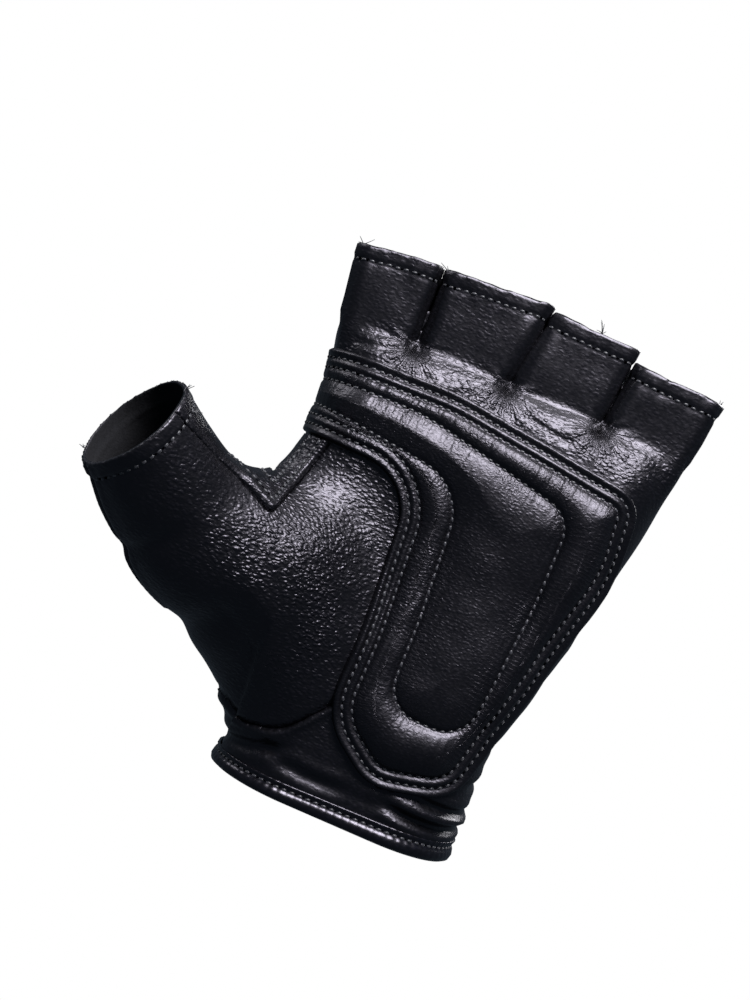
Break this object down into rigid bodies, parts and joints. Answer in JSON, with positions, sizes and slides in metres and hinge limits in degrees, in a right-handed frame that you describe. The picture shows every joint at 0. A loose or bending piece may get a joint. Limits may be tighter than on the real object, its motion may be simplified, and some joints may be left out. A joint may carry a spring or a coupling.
{
  "type": "fingerless glove",
  "caption": "Fingerless leather glove for the left hand, with a padded palm patch, open finger and thumb stalls, a bound cuff and a wrist tab.",
  "frame": {"origin": "centre of the wrist opening, in the plane of the cuff's lower rim", "axes": "+Z along the fingers, palm towards -Y, thumb towards -X"},
  "size_m": [0.1407, 0.0814, 0.1427],
  "materials": {
    "palm_leather": "black pebbled nappa, semi-gloss",
    "patch_leather": "black smooth nappa, glossy",
    "back_leather": "black fine-grained nappa, satin",
    "binding_leather": "black rolled binding, glossy",
    "foam": "closed-cell foam",
    "thread": "bonded sewing thread",
    "elastic": "woven elastic",
    "hook_tape": "hook tape",
    "loop_tape": "loop pile"
  },
  "bodies": {
    "glove": {"back_panel": "back_leather", "cuff_binding": "binding_leather", "cuff_stitching": "thread", "finger_hem_stitching": "thread", "fourchette_index_middle": "back_leather", "fourchette_middle_ring": "back_leather", "fourchette_ring_little": "back_leather", "pad_border": "foam", "pad_centre": "foam", "pad_stitching": "thread", "palm_panel": "palm_leather", "palm_patch": "patch_leather", "patch_stitching_inner": "thread", "patch_stitching_outer": "thread", "tab_anchor": "back_leather", "tab_loop": "loop_tape", "thumb_back": "back_leather", "thumb_front": "palm_leather", "thumb_hem_stitching": "thread", "web_band": "palm_leather", "web_gusset": "palm_leather", "web_stitching": "thread", "wrist_elastic": "elastic", "wrist_underlap": "back_leather"},
    "tab": {"tab_leather": "back_leather", "tab_hook": "hook_tape", "tab_stitching": "thread"}
  },
  "joints": [
    {"name": "tab_hinge", "type": "hinge", "parent": "glove", "child": "tab", "pos_m": [-0.016, 0.02582, 0.0215], "axis": [0, 0, 1], "range_deg": [0, 150]}
  ]
}
